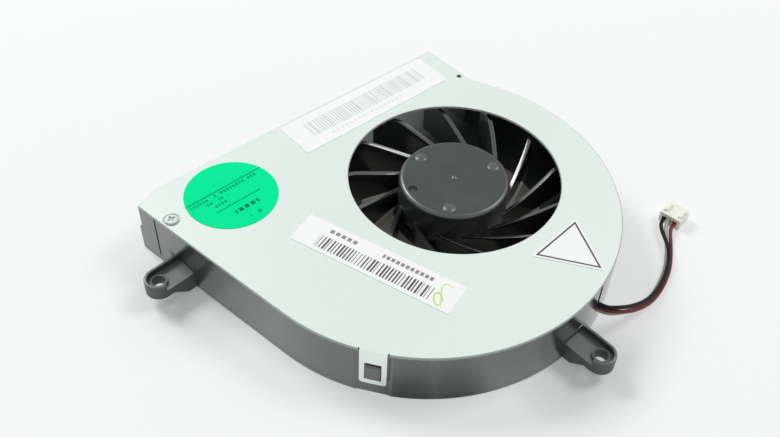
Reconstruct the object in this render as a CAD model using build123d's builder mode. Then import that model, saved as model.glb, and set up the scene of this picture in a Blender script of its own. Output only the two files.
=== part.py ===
"""Laptop blower fan: a scroll housing under a sheet cover, a bladed rotor, its motor, a lead and a plug."""
import math
import os

from build123d import *

os.makedirs("parts", exist_ok=True)

# Sizes are in millimetres and degrees. The rotor axis is Z, and the bottom of the base is z = 0.
# The outlet faces +Y and its edge runs along X.

# Fits and gaps
seat_clearance = 0.02
running_clearance = 0.03
end_play = 0.05
air_gap = 0.35
turning_gap = 0.6
tip_gap = 2.4

# Housing
base_height = 12.15
floor_thickness = 1.2
wall_thickness = 1.2
scroll_radius = 40.0
scroll_x = -9.4
scroll_y = -0.6
side_flare = 8.7
outlet_distance = 35.0
tongue_distance = 24.6
tongue_round = 10.0
corner_run = 5.2
corner_drop = 2.0
foot_round = 0.3
end_reach = 0.75
end_step_height = 6.5
groove_along = 35.4
groove_width = 0.4
groove_depth = 0.5
groove_bottom = 2.0

# Ears
ear_width = 5.6
ear_reach = 6.4
ear_rim = 0.6
ear_rim_top = 6.0
ear_tray_depth = 1.4
ear_tip_thickness = 3.2
ear_hole_radius = 1.3
ear_ring_width = 0.45
ear_ring_height = 0.5
gusset_bottom = 0.6
gusset_length = 1.9
gusset_run = 3.0
ear_edge_round = 0.3
left_ear_along = 27.4
left_ear_angle = 184.0
right_ear_around = 274.2
right_ear_angle = 271.0

# Cover
cover_thickness = 0.5
cover_edge_round = 0.15
inlet_radius = 22.0
relief_radius = 0.5
relief_inset = 1.05
relief_y = 23.4
dish_radius = 1.75
dish_depth = 0.2

# Latch
latch_angle = 215.4
tab_width = 5.1
tab_bottom = 3.3
tab_round = 0.7
tab_proud = 0.1
bend_round = 0.45
slit_width = 0.3
slit_length = 0.65
window_width = 3.2
window_bottom = 4.5
window_height = 4.8
nub_width = 2.7
nub_height = 3.6
nub_gap = 0.1
nub_ramp = 0.35
recess_flare = 3.2

# Screw
screw_along = 32.3
screw_inset = 1.95
screw_head_radius = 1.35
screw_head_height = 0.55
screw_shank_radius = 0.7
screw_length = 5.0
screw_tip_room = 0.3
screw_recess_length = 1.6
screw_recess_width = 0.4
screw_recess_depth = 0.3
pillar_radius = 1.8

# Bearing and shaft
shaft_radius = 1.0
shaft_grip = 1.2
sleeve_wall = 1.35
sleeve_chamfer = 0.2
tube_wall = 0.6
tube_rim = 0.2
tube_floor = 0.4
socket_wall = 1.4
socket_height = 2.0
thrust_thickness = 0.4
ring_width = 0.6
ring_thickness = 0.25
ring_lift = 0.35
ring_groove_depth = 0.2

# Circuit board
board_thickness = 0.6
board_radius = 9.6
chip_length = 2.9
chip_width = 1.6
chip_height = 0.9
chip_angle = 30.0
chip_leg_width = 0.35
chip_leg_reach = 0.5
chip_leg_thickness = 0.2
chip_leg_pitch = 0.95
component_length = 1.0
component_width = 0.6
component_height = 0.5
component_angles = (150.0, 215.0, 330.0)
component_circle = 6.6

# Rotor
hub_drop = 0.3
hub_radius = 11.5
hub_wall = 0.9
hub_roof = 1.0
hub_round = 0.8
boss_radius = 2.2
boss_gap = 0.5
blade_count = 13
blade_phase = 108.0
blade_thickness = 0.9
blade_drop = 1.0
blade_root_height = 3.75
blade_root_lag = -36.8
blade_middle_lag = -4.5
blade_tip_lead = 7.5
shoulder_inset = 0.5
yoke_wall = 0.5
magnet_thickness = 1.15
magnet_lift = 0.2
magnet_drop = 0.8
dome_radius = 1.3
dome_height = 0.3
dome_circle = 9.0
dome_angles = (98.0, -18.0, -140.0)
center_dome_radius = 0.55
center_dome_height = 0.25
balance_hole_circle = 9.4
balance_hole_radius = 0.85
balance_hole_depth = 0.5
balance_hole_angle = 162.0

# Stator
arm_count = 6
arm_width = 1.6
core_ring_wall = 1.1
shoe_thickness = 0.9
shoe_span = 46.0
insulator_thickness = 0.4
coil_build = 0.8
coil_margin = 0.35
coil_round = 0.5
winding_clearance = 0.05

# Lead: the wires stand on each other in the wall's slot, then come down, two on the floor and one on them
wire_diameter = 0.8
wire_pitch = 0.85
lane_pitch = 0.95
lane_x = 0.2
arc_share = 0.45
slot_angle = 285.0
slot_width = 1.1
slot_bottom = 5.0
slot_lift = 0.1
slot_approach = 3.2
slot_stagger = 0.45
lead_rise = 3.0
lead_stagger = 1.2
white_route = [
    (0.95, -39.24, 5.5), (1.4, -40.92, 5.5), (2.7, -42.3, 5.1), (5.3, -42.75, 3.6), (9.0, -42.2, 1.3),
    (12.55, -41.67, 0.42), (16.0, -41.17, 0.42), (19.96, -40.09, 0.42), (24.11, -38.32, 0.42),
    (27.76, -36.24, 0.42), (30.1, -34.47, 0.5), (31.95, -32.82, 0.95), (33.7, -31.67, 1.3),
    (35.69, -31.39, 1.3),
]
red_route = [
    (0.95, -39.24, 6.35), (1.43, -41.03, 6.35), (2.7, -42.65, 5.95), (5.3, -43.5, 4.25), (9.0, -43.1, 1.5),
    (12.65, -42.53, 0.42), (16.2, -42.03, 0.42), (20.24, -40.91, 0.42), (24.49, -39.08, 0.42),
    (28.24, -36.96, 0.42), (30.69, -35.16, 0.5), (32.55, -33.73, 0.95), (33.9, -32.9, 1.3),
    (35.86, -32.63, 1.3),
]
black_route = [
    (0.95, -39.24, 7.2), (1.4, -40.92, 7.2), (2.85, -42.3, 6.9), (5.4, -42.75, 5.2), (9.0, -42.6, 2.4),
    (12.6, -42.1, 1.17), (16.1, -41.6, 1.17), (20.1, -40.5, 1.17), (24.3, -38.7, 1.17),
    (27.76, -36.24, 1.28), (29.68, -33.98, 1.22), (31.37, -31.95, 1.25), (33.4, -30.45, 1.3),
    (35.52, -30.15, 1.3),
]

# Plug
plug_x = 34.9
plug_y = -31.5
plug_angle = 8.0
plug_length = 4.2
plug_width = 5.0
plug_height = 2.6
plug_pitch = 1.25
plug_entry = 0.8
plug_round = 0.25
cavity_size = 0.95
key_length = 2.4
key_width = 0.7
key_height = 0.4
key_spacing = 3.4
terminal_width = 0.7
terminal_length = 3.2

# Stickers
sticker_thickness = 0.1
round_label_along = 28.9
round_label_inset = 14.55
round_label_radius = 9.5
back_label_inset = 4.0
back_label_gap = 0.85
back_label_length = 40.0
back_label_width = 9.9
front_label_around = 196.3
front_label_gap = 3.55
front_label_length = 35.0
front_label_width = 7.4
front_label_angle = -72.0
label_round = 0.4
triangle_around = 293.8
triangle_inset = 8.8
triangle_side = 14.2
triangle_angle = 35.0

# Heights worked out from the sizes above
cover_top = base_height + cover_thickness
head_bottom = cover_top - dish_depth
hub_top = base_height - hub_drop
blade_top = base_height - blade_drop
wire_height = floor_thickness + wire_diameter / 2
blade_bottom = floor_thickness + wire_diameter + turning_gap
blade_root_top = blade_bottom + blade_root_height
board_bottom = socket_height
board_top = board_bottom + board_thickness
hub_bottom = board_top + turning_gap + air_gap
yoke_top = hub_top - hub_roof
yoke_under = yoke_top - yoke_wall
boss_bottom = yoke_under - boss_gap
shaft_top = boss_bottom + shaft_grip
shaft_bottom = tube_floor + thrust_thickness + end_play
ring_bottom = shaft_bottom + ring_lift
tube_top = boss_bottom - boss_gap
sleeve_top = tube_top - tube_rim
sleeve_bottom = ring_bottom + ring_thickness + turning_gap
coil_bottom = board_top + chip_height + air_gap
coil_top = yoke_under - turning_gap - boss_gap
core_bottom = coil_bottom + coil_build + insulator_thickness
core_top = coil_top - coil_build - insulator_thickness
ear_floor = ear_rim_top - ear_tray_depth
ear_tip_bottom = ear_rim_top - ear_tip_thickness
nub_bottom = window_bottom + nub_gap

# Radii worked out from the sizes above
sleeve_bore = shaft_radius + running_clearance
sleeve_radius = sleeve_bore + sleeve_wall
tube_bore = sleeve_radius + seat_clearance
tube_radius = tube_bore + tube_wall
socket_bore = tube_radius + seat_clearance
core_bore = tube_radius + seat_clearance
core_ring_radius = core_bore + core_ring_wall
hub_bore = hub_radius - hub_wall
yoke_radius = hub_bore - seat_clearance
magnet_radius = yoke_radius - yoke_wall - seat_clearance
magnet_bore = magnet_radius - magnet_thickness
core_radius = magnet_bore - air_gap
shoe_bore = core_radius - shoe_thickness
blade_tip_radius = scroll_radius - math.hypot(scroll_x, scroll_y) - wall_thickness - tip_gap
shoulder_radius = inlet_radius - shoulder_inset
screw_bore = screw_shank_radius + seat_clearance
tab_outer = scroll_radius + tab_proud
recess_radius = tab_outer - cover_thickness - seat_clearance


def polar(radius, angle):
    """The point at a radius and an angle about the rotor axis."""
    return (radius * math.cos(math.radians(angle)), radius * math.sin(math.radians(angle)))


def on_scroll(angle, radius=scroll_radius):
    """The point at an angle about the scroll's centre, on its outer circle or on one inside it."""
    x, y = polar(radius, angle)
    return (scroll_x + x, scroll_y + y)


def on_side(along, inset=0.0):
    """The point of the straight side wall, along it from the scroll and inwards from its face."""
    x, y = on_scroll(180 + side_flare, scroll_radius - inset)
    step_x, step_y = polar(along, 90 + side_flare)
    return (x + step_x, y + step_y)


def upright_plane(x, y, z, out_angle):
    """A plane that stands upright at a point, its x axis level and its z axis pointing out at an angle."""
    out_x, out_y = polar(1.0, out_angle)
    return Plane(origin=(x, y, z), x_dir=(-out_y, out_x, 0), z_dir=(out_x, out_y, 0))


def wall_plane(angle, radius, height=0.0):
    """An upright plane on the scroll's wall."""
    return upright_plane(*on_scroll(angle, radius), height, angle)


def scroll_outline(inset=0.0, outlet=outlet_distance):
    """Draws the housing's outline, drawn in by an inset, up to the outlet's line."""
    radius = scroll_radius - inset
    tongue = tongue_distance - inset
    tongue_angle = math.degrees(math.acos((tongue - scroll_x) / radius))
    side_x, side_y = on_side(0.0, inset)
    side_end_x = side_x - (outlet - side_y) * math.tan(math.radians(side_flare))
    with BuildLine() as outline:
        arc = CenterArc((scroll_x, scroll_y), radius, 180 + side_flare, 180 - side_flare + tongue_angle)
        Polyline(arc @ 1, (tongue, outlet), (side_end_x, outlet), arc @ 0)
    make_face(outline.edges())


def housing_outline(sketch):
    """Draws the outer outline in a sketch, with the tongue's rounded root and the cut outlet corner."""
    scroll_outline()
    root_angle = math.degrees(math.acos((tongue_distance - scroll_x) / scroll_radius))
    fillet(sketch.vertices().sort_by_distance(Vector(*on_scroll(root_angle)))[0], tongue_round)
    corner_x, corner_y = on_side(side_length)
    with BuildLine() as corner:
        Polyline(
            (corner_x, corner_y),
            (corner_x + corner_run, outlet_distance),
            (corner_x - corner_run, outlet_distance),
            close=True,
        )
    make_face(corner.edges(), mode=Mode.SUBTRACT)


def ear_hole(foot, angle):
    """The centre of an ear's hole, out from the ear's foot on the wall."""
    step_x, step_y = polar(ear_reach, angle)
    return (foot[0] + step_x, foot[1] + step_y)


def add_ear(base, hole_x, hole_y, angle, rim_side):
    """Adds a screw ear to the base: a tray, a rim on one side and round the tip, a ringed hole, a gusset."""
    out_x, out_y = polar(1.0, angle)
    ear = Plane(origin=(hole_x, hole_y, 0), x_dir=(out_x, out_y, 0), z_dir=(0, 0, 1))
    side = Plane(origin=(hole_x, hole_y, 0), x_dir=(out_x, out_y, 0), z_dir=(out_y, -out_x, 0))
    root = -ear_reach - wall_thickness / 2
    with BuildSketch(ear.offset(ear_tip_bottom)) as tongue:
        Circle(ear_width / 2)
        with Locations((root / 2, 0)):
            Rectangle(-root, ear_width)
    extrude(tongue.sketch, amount=ear_tip_thickness)
    rim_edges = base.edges().filter_by_position(Axis.Z, ear_rim_top, ear_rim_top)
    hole_top = Vector(hole_x, hole_y, ear_rim_top)
    foot_distance = ear_reach - wall_thickness
    outer_edges = rim_edges.filter_by(lambda edge: (edge.center() - hole_top).length < foot_distance)
    fillet(outer_edges, ear_edge_round)
    with BuildSketch(side) as gusset:
        with BuildLine():
            Polyline(
                (root, gusset_bottom),
                (-ear_reach + gusset_length, gusset_bottom),
                (-ear_reach + gusset_length + gusset_run, ear_tip_bottom),
                (root, ear_tip_bottom),
                close=True,
            )
        make_face()
    extrude(gusset.sketch, amount=ear_width / 2, both=True)
    tray_radius = ear_width / 2 - ear_rim
    with BuildSketch(ear.offset(ear_rim_top)) as tray:
        Circle(tray_radius)
        with Locations((-ear_reach / 2, -rim_side * ear_rim)):
            Rectangle(ear_reach, ear_width)
    extrude(tray.sketch, amount=-ear_tray_depth, mode=Mode.SUBTRACT)
    with BuildSketch(ear.offset(ear_floor)) as ring:
        Circle(ear_hole_radius + ear_ring_width)
    extrude(ring.sketch, amount=ear_ring_height)
    with BuildSketch(ear.offset(ear_rim_top)) as hole:
        Circle(ear_hole_radius)
    extrude(hole.sketch, amount=-ear_tip_thickness, mode=Mode.SUBTRACT)


def add_dome(x, y, radius, height):
    """Adds a low round mark to the hub's top: a cap cut from a ball."""
    ball = (radius**2 + height**2) / (2 * height)
    rim_angle = math.degrees(math.atan2(ball - height, radius))
    root = -hub_roof / 2
    with BuildSketch(Plane(origin=(x, y, hub_top), x_dir=(1, 0, 0), z_dir=(0, -1, 0))) as section:
        with BuildLine():
            CenterArc((0, height - ball), ball, rim_angle, 90 - rim_angle)
            Polyline((0, height), (0, root), (radius, root), (radius, 0))
        make_face()
    revolve(section.sketch, axis=Axis((x, y, hub_top), (0, 0, 1)))


def stator_spider(shoes):
    """Draws the stator's ring and arms, with pole shoes where asked."""
    Circle(core_ring_radius)
    with PolarLocations(0, arm_count):
        Rectangle(shoe_bore, arm_width, align=(Align.MIN, Align.CENTER))
    if shoes:
        for arm in range(arm_count):
            start = arm * 360 / arm_count - shoe_span / 2
            with BuildLine() as shoe:
                inner = CenterArc((0, 0), shoe_bore - seat_clearance, start, shoe_span)
                outer = CenterArc((0, 0), core_radius, start, shoe_span)
                Line(inner @ 0, outer @ 0)
                Line(inner @ 1, outer @ 1)
            make_face(shoe.edges())
    Circle(core_bore, mode=Mode.SUBTRACT)


def lay_wire(route):
    """Adds a round wire along a route: straight runs joined by arcs as large as the runs allow."""
    corners = [Vector(*point) for point in route]
    runs = [after - before for before, after in zip(corners, corners[1:])]
    radii = []
    for before, after in zip(runs, runs[1:]):
        half_turn = math.radians(before.get_angle(after)) / 2
        radii.append(arc_share * min(before.length, after.length) / math.tan(half_turn))
    with BuildLine():
        path = FilletPolyline(*corners, radius=radii)
    with BuildSketch(Plane(origin=path @ 0, z_dir=path % 0)) as section:
        Circle(wire_diameter / 2)
    wire = sweep(section.sketch, path=path)
    filled = wire.volume / (section.sketch.area * path.length)
    print(f"wire length {path.length:.2f}, volume against section times length {filled:.4f}")
    print("  radii", [round(radius, 1) for radius in radii])


def finish(piece, name):
    """Names a finished piece and writes it."""
    piece.part.label = name
    export_step(piece.part, f"parts/{name}.step")


side_length = (outlet_distance - corner_drop - on_side(0.0)[1]) / math.cos(math.radians(side_flare))
side_plane = upright_plane(*on_side(0.0), 0.0, 180 + side_flare)
screw_x, screw_y = on_side(screw_along, screw_inset)

# Base housing: floor, scroll wall, ears, bearing socket, screw pillar, latch nub and lead slot
with BuildPart() as base_housing:
    with BuildSketch() as floor_sketch:
        housing_outline(floor_sketch)
    extrude(amount=base_height)
    fillet(base_housing.faces().sort_by(Axis.Z)[0].edges(), foot_round)
    with BuildSketch(Plane.XY.offset(floor_thickness)):
        scroll_outline(wall_thickness, outlet_distance + wall_thickness)
    extrude(amount=base_height, mode=Mode.SUBTRACT)
    with BuildSketch(Plane.XY.offset(floor_thickness)) as pillar_sketch:
        housing_outline(pillar_sketch)
        with Locations((screw_x, screw_y)):
            Circle(pillar_radius, mode=Mode.INTERSECT)
    extrude(amount=base_height - floor_thickness)
    with Locations((screw_x, screw_y, base_height)):
        Hole(screw_bore, screw_length)
    with BuildSketch(Plane.XY.offset(floor_thickness)):
        Circle(socket_bore + socket_wall)
    extrude(amount=socket_height - floor_thickness)
    with Locations((0, 0, socket_height)):
        Hole(socket_bore, socket_height - tube_floor)
    left_hole = ear_hole(on_side(left_ear_along), left_ear_angle)
    add_ear(base_housing, *left_hole, left_ear_angle, rim_side=-1)
    right_hole = ear_hole(on_scroll(right_ear_around), right_ear_angle)
    add_ear(base_housing, *right_hole, right_ear_angle, rim_side=1)
    # Recess behind the cover's tab, with the nub that the tab snaps over
    out_x, out_y = polar(1.0, latch_angle)
    recess_plane = Plane(
        origin=(*on_scroll(latch_angle, recess_radius), 0), x_dir=(out_y, -out_x, 0), z_dir=(0, 0, 1)
    )
    recess_half = tab_width / 2 + slit_width
    with BuildSketch(recess_plane):
        with BuildLine():
            Polyline(
                (-recess_half, 0),
                (recess_half, 0),
                (recess_half + recess_flare, wall_thickness),
                (-recess_half - recess_flare, wall_thickness),
                close=True,
            )
        make_face()
    extrude(amount=base_height, mode=Mode.SUBTRACT)
    with BuildSketch(wall_plane(latch_angle, recess_radius, nub_bottom)):
        Rectangle(nub_width, nub_height, align=(Align.CENTER, Align.MIN))
    extrude(amount=tab_outer - recess_radius)
    nub_top = wall_plane(latch_angle, tab_outer, nub_bottom + nub_height).origin
    chamfer(base_housing.edges().sort_by_distance(nub_top)[0], nub_ramp)
    # Slot for the lead, open at the top
    with BuildSketch(wall_plane(slot_angle, scroll_radius - 2 * wall_thickness, slot_bottom)):
        Rectangle(slot_width, base_height, align=(Align.CENTER, Align.MIN))
    extrude(amount=3 * wall_thickness, mode=Mode.SUBTRACT)
    # Groove across the side wall, and the stepped end of that wall at the outlet
    with BuildSketch(side_plane.offset(-groove_depth)):
        with Locations((-groove_along, groove_bottom)):
            Rectangle(groove_width, base_height, align=(Align.CENTER, Align.MIN))
    extrude(amount=wall_thickness, mode=Mode.SUBTRACT)
    with BuildSketch(side_plane.offset(-wall_thickness)):
        with Locations((-end_reach - side_length, foot_round)):
            Rectangle(
                end_reach + wall_thickness, end_step_height - foot_round, align=(Align.MIN, Align.MIN)
            )
    extrude(amount=wall_thickness)
finish(base_housing, "base_housing")

# Top cover: one sheet with the round inlet, a dish for the screw and a tab bent down over the nub
tab_plane = wall_plane(latch_angle, tab_outer)
with BuildPart() as top_cover:
    with BuildSketch(Plane.XY.offset(base_height)) as sheet_sketch:
        housing_outline(sheet_sketch)
        Circle(inlet_radius, mode=Mode.SUBTRACT)
        with Locations((screw_x, screw_y)):
            Circle(screw_bore, mode=Mode.SUBTRACT)
        with Locations((tongue_distance - relief_inset, relief_y)):
            Circle(relief_radius, mode=Mode.SUBTRACT)
    extrude(amount=cover_thickness)
    fillet(top_cover.faces().sort_by(Axis.Z)[-1].edges(), cover_edge_round)
    with BuildSketch(tab_plane.offset(-slit_length)):
        for edge in (-1, 1):
            with Locations((edge * (tab_width + slit_width) / 2, base_height)):
                Rectangle(slit_width, cover_thickness, align=(Align.CENTER, Align.MIN))
    extrude(amount=2 * slit_length, mode=Mode.SUBTRACT)
    with BuildSketch(tab_plane) as tab_sketch:
        with Locations((0, cover_top)):
            Rectangle(tab_width, cover_top - tab_bottom, align=(Align.CENTER, Align.MAX))
        fillet(tab_sketch.vertices().group_by(Axis.Y)[0], tab_round)
        with Locations((0, window_bottom)):
            Rectangle(window_width, window_height, align=(Align.CENTER, Align.MIN), mode=Mode.SUBTRACT)
    extrude(amount=-cover_thickness)
    bend = tab_plane.origin + Vector(0, 0, cover_top)
    fillet(top_cover.edges().sort_by_distance(bend)[0], bend_round)
    with Locations((screw_x, screw_y, cover_top)):
        Hole(dish_radius, dish_depth)
finish(top_cover, "top_cover")

# Cover screw: a low head with a crossed recess on a plain shank
with BuildPart() as cover_screw:
    with BuildSketch(Plane.XY.offset(head_bottom)):
        with Locations((screw_x, screw_y)):
            Circle(screw_head_radius)
    extrude(amount=screw_head_height)
    fillet(cover_screw.faces().sort_by(Axis.Z)[-1].edges(), screw_head_height / 2)
    with BuildSketch(Plane.XY.offset(head_bottom + screw_head_height)):
        with Locations((screw_x, screw_y)):
            Rectangle(screw_recess_length, screw_recess_width)
            Rectangle(screw_recess_width, screw_recess_length)
    extrude(amount=-screw_recess_depth, mode=Mode.SUBTRACT)
    with BuildSketch(Plane.XY.offset(base_height - screw_length + screw_tip_room)):
        with Locations((screw_x, screw_y)):
            Circle(screw_shank_radius)
    extrude(amount=head_bottom - base_height + screw_length - screw_tip_room)
finish(cover_screw, "cover_screw")

# Bearing: a tube in the base's socket, a thrust plate at its bottom and the sleeve above
with BuildPart() as bearing_tube:
    with BuildSketch(Plane.XY.offset(tube_floor)):
        Circle(tube_radius)
        Circle(tube_bore, mode=Mode.SUBTRACT)
    extrude(amount=tube_top - tube_floor)
finish(bearing_tube, "bearing_tube")

with BuildPart() as thrust_plate:
    with BuildSketch(Plane.XY.offset(tube_floor)):
        Circle(tube_bore - seat_clearance)
    extrude(amount=thrust_thickness)
finish(thrust_plate, "thrust_plate")

with BuildPart() as bearing_sleeve:
    with BuildSketch(Plane.XY.offset(sleeve_bottom)):
        Circle(sleeve_radius)
        Circle(sleeve_bore, mode=Mode.SUBTRACT)
    extrude(amount=sleeve_top - sleeve_bottom)
    chamfer(bearing_sleeve.edges().group_by(Axis.Z)[-1], sleeve_chamfer)
finish(bearing_sleeve, "bearing_sleeve")

# Shaft with its groove, and the ring that keeps it in the sleeve
with BuildPart() as rotor_shaft:
    with BuildSketch(Plane.XY.offset(shaft_bottom)):
        Circle(shaft_radius)
    extrude(amount=shaft_top - shaft_bottom)
    with BuildSketch(Plane.XY.offset(ring_bottom)):
        Circle(shaft_radius)
        Circle(shaft_radius - ring_groove_depth, mode=Mode.SUBTRACT)
    extrude(amount=ring_thickness, mode=Mode.SUBTRACT)
finish(rotor_shaft, "rotor_shaft")

with BuildPart() as retaining_ring:
    with BuildSketch(Plane.XY.offset(ring_bottom)):
        Circle(shaft_radius + ring_width)
        Circle(shaft_radius - ring_groove_depth + seat_clearance, mode=Mode.SUBTRACT)
        with Locations((shaft_radius, 0)):
            Rectangle(2 * shaft_radius, shaft_radius, mode=Mode.SUBTRACT)
    extrude(amount=ring_thickness)
finish(retaining_ring, "retaining_ring")

# Impeller: hub and blades in one moulding, each blade's inlet edge rising from the hub to a shoulder
with BuildPart() as impeller:
    with BuildSketch(Plane.XY.offset(blade_bottom)):
        for blade in range(blade_count):
            around = blade_phase + blade * 360 / blade_count
            with BuildLine() as camber:
                ThreePointArc(
                    polar(hub_radius - hub_wall / 2, around + blade_root_lag),
                    polar((hub_radius + blade_tip_radius) / 2, around + blade_middle_lag),
                    polar(blade_tip_radius, around + blade_tip_lead),
                )
            trace(camber.line, line_width=blade_thickness)
    extrude(amount=blade_top - blade_bottom)
    with BuildSketch(Plane.XZ):
        with BuildLine():
            Polyline(
                (0, blade_root_top),
                (hub_radius, blade_root_top),
                (shoulder_radius, blade_top),
                (0, blade_top),
                close=True,
            )
        make_face()
    revolve(axis=Axis.Z, mode=Mode.SUBTRACT)
    with BuildSketch(Plane.XY.offset(hub_bottom)):
        Circle(hub_radius)
    extrude(amount=hub_top - hub_bottom)
    fillet(impeller.faces().sort_by(Axis.Z)[-1].edges(), hub_round)
    with BuildSketch(Plane.XY.offset(hub_bottom)):
        Circle(hub_bore)
    extrude(amount=yoke_top - hub_bottom, mode=Mode.SUBTRACT)
    with BuildSketch(Plane.XY.offset(boss_bottom)):
        Circle(boss_radius)
    extrude(amount=yoke_top - boss_bottom)
    with BuildSketch(Plane.XY.offset(boss_bottom)):
        Circle(shaft_radius + seat_clearance)
    extrude(amount=shaft_top - boss_bottom, mode=Mode.SUBTRACT)
    add_dome(0, 0, center_dome_radius, center_dome_height)
    for angle in dome_angles:
        add_dome(*polar(dome_circle, angle), dome_radius, dome_height)
    with Locations((*polar(balance_hole_circle, balance_hole_angle), hub_top)):
        Hole(balance_hole_radius, balance_hole_depth)
finish(impeller, "impeller")

# Steel cup and ring magnet inside the hub
with BuildPart() as rotor_yoke:
    with BuildSketch(Plane.XY.offset(hub_bottom)):
        Circle(yoke_radius)
    extrude(amount=yoke_top - hub_bottom)
    with BuildSketch(Plane.XY.offset(hub_bottom)):
        Circle(yoke_radius - yoke_wall)
    extrude(amount=yoke_under - hub_bottom, mode=Mode.SUBTRACT)
    with Locations((0, 0, yoke_top)):
        Hole(boss_radius + seat_clearance, yoke_wall)
finish(rotor_yoke, "rotor_yoke")

with BuildPart() as rotor_magnet:
    with BuildSketch(Plane.XY.offset(hub_bottom + magnet_lift)):
        Circle(magnet_radius)
        Circle(magnet_bore, mode=Mode.SUBTRACT)
    extrude(amount=yoke_under - magnet_drop - hub_bottom - magnet_lift)
finish(rotor_magnet, "rotor_magnet")

# Stator: laminated core, an insulating plate on each side, and a coil on each arm
with BuildPart() as stator_core:
    with BuildSketch(Plane.XY.offset(core_bottom)):
        stator_spider(shoes=True)
    extrude(amount=core_top - core_bottom)
finish(stator_core, "stator_core")

insulator_bottoms = {"lower_insulator": core_bottom - insulator_thickness, "upper_insulator": core_top}
for plate_name, plate_bottom in insulator_bottoms.items():
    with BuildPart() as insulator:
        with BuildSketch(Plane.XY.offset(plate_bottom)):
            stator_spider(shoes=False)
        extrude(amount=insulator_thickness)
    finish(insulator, plate_name)

coil_start = core_ring_radius + coil_margin
coil_end = shoe_bore - coil_margin
coil_middle = (coil_bottom + coil_top) / 2
arm_angles = [arm * 360 / arm_count for arm in range(arm_count)]
coil_planes = [upright_plane(*polar(coil_start, angle), coil_middle, angle) for angle in arm_angles]
with BuildPart() as stator_coils:
    with BuildSketch(*coil_planes):
        RectangleRounded(arm_width + 2 * coil_build, coil_top - coil_bottom, coil_round)
        Rectangle(
            arm_width + 2 * winding_clearance,
            core_top - core_bottom + 2 * (insulator_thickness + winding_clearance),
            mode=Mode.SUBTRACT,
        )
    extrude(amount=coil_end - coil_start)
finish(stator_coils, "stator_coils")

# Circuit board on the bearing socket, with its driver chip and small components
with BuildPart() as circuit_board:
    with BuildSketch(Plane.XY.offset(board_bottom)):
        Circle(board_radius)
        Circle(tube_radius + seat_clearance, mode=Mode.SUBTRACT)
    extrude(amount=board_thickness)
finish(circuit_board, "circuit_board")

chip_plane = Plane(
    origin=(*polar(component_circle, chip_angle), board_top),
    x_dir=(*polar(1.0, chip_angle + 90), 0),
    z_dir=(0, 0, 1),
)
with BuildPart() as driver_chip:
    with BuildSketch(chip_plane):
        Rectangle(chip_length, chip_width)
    extrude(amount=chip_height)
    chamfer(driver_chip.faces().sort_by(Axis.Z)[-1].edges(), chip_leg_thickness)
    with BuildSketch(chip_plane):
        with GridLocations(chip_leg_pitch, 0, 3, 1):
            Rectangle(chip_leg_width, chip_width + 2 * chip_leg_reach)
    extrude(amount=chip_leg_thickness)
finish(driver_chip, "driver_chip")

with BuildPart() as board_components:
    with BuildSketch(Plane.XY.offset(board_top)):
        for angle in component_angles:
            with Locations(Location((*polar(component_circle, angle), 0), angle)):
                Rectangle(component_width, component_length)
    extrude(amount=component_height)
finish(board_components, "board_components")

# Lead wires inside the housing, from the board's edge to the outer end of the slot
with BuildPart() as inner_leads:
    for lane in range(3):
        x = lane_x + (lane - 1) * lane_pitch
        stack_height = slot_bottom + slot_lift + wire_diameter / 2 + lane * wire_pitch
        rise_y = -(blade_tip_radius + lead_rise + (2 - lane) * lead_stagger)
        approach = on_scroll(slot_angle, scroll_radius - slot_approach - lane * slot_stagger)
        lay_wire(
            [
                (x, -board_radius - seat_clearance, wire_height),
                (x, rise_y, wire_height),
                (*approach, stack_height),
                (*on_scroll(slot_angle), stack_height),
            ]
        )
finish(inner_leads, "inner_leads")

# Lead wires outside the housing
lead_routes = {"wire_white": white_route, "wire_red": red_route, "wire_black": black_route}
for wire_name, route in lead_routes.items():
    with BuildPart() as lead_wire:
        lay_wire(route)
    finish(lead_wire, wire_name)

# Plug with three wire cavities, two keys on top and a terminal in each cavity
plug_axis = polar(1.0, plug_angle)
plug_plane = Plane(origin=(plug_x, plug_y, 0), x_dir=(*plug_axis, 0), z_dir=(0, 0, 1))
entry_plane = upright_plane(plug_x, plug_y, plug_height / 2, plug_angle)
with BuildPart() as plug_housing:
    with BuildSketch(plug_plane):
        Rectangle(plug_length, plug_width, align=(Align.MIN, Align.CENTER))
    extrude(amount=plug_height)
    fillet(plug_housing.edges().filter_by(Axis.Z), plug_round)
    with BuildSketch(plug_plane.offset(plug_height)):
        with Locations((plug_length / 2, 0)):
            with GridLocations(1, key_spacing, 1, 2):
                Rectangle(key_length, key_width)
    extrude(amount=key_height)
    with BuildSketch(entry_plane):
        with GridLocations(plug_pitch, 1, 3, 1):
            Rectangle(cavity_size, cavity_size)
    extrude(amount=plug_length, mode=Mode.SUBTRACT)
finish(plug_housing, "plug_housing")

with BuildPart() as plug_terminals:
    with BuildSketch(entry_plane.offset(plug_entry)):
        with Locations((0, (terminal_width - cavity_size) / 2)):
            with GridLocations(plug_pitch, 1, 3, 1):
                Rectangle(terminal_width, terminal_width)
    extrude(amount=terminal_length)
finish(plug_terminals, "plug_terminals")

# Stickers on the cover
with BuildPart() as round_label:
    with BuildSketch(Plane.XY.offset(cover_top)):
        with Locations(on_side(round_label_along, round_label_inset)):
            Circle(round_label_radius)
    extrude(amount=sticker_thickness)
finish(round_label, "round_label")

back_label_x = tongue_distance - back_label_inset - back_label_length / 2
back_label_y = outlet_distance - back_label_gap - back_label_width / 2
with BuildPart() as back_label:
    with BuildSketch(Plane.XY.offset(cover_top)):
        with Locations((back_label_x, back_label_y)):
            RectangleRounded(back_label_length, back_label_width, label_round)
    extrude(amount=sticker_thickness)
finish(back_label, "back_label")

front_label_radius = inlet_radius + front_label_gap + front_label_width / 2
with BuildPart() as front_label:
    with BuildSketch(Plane.XY.offset(cover_top)):
        with Locations(polar(front_label_radius, front_label_around)):
            RectangleRounded(front_label_length, front_label_width, label_round, rotation=front_label_angle)
    extrude(amount=sticker_thickness)
finish(front_label, "front_label")

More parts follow.
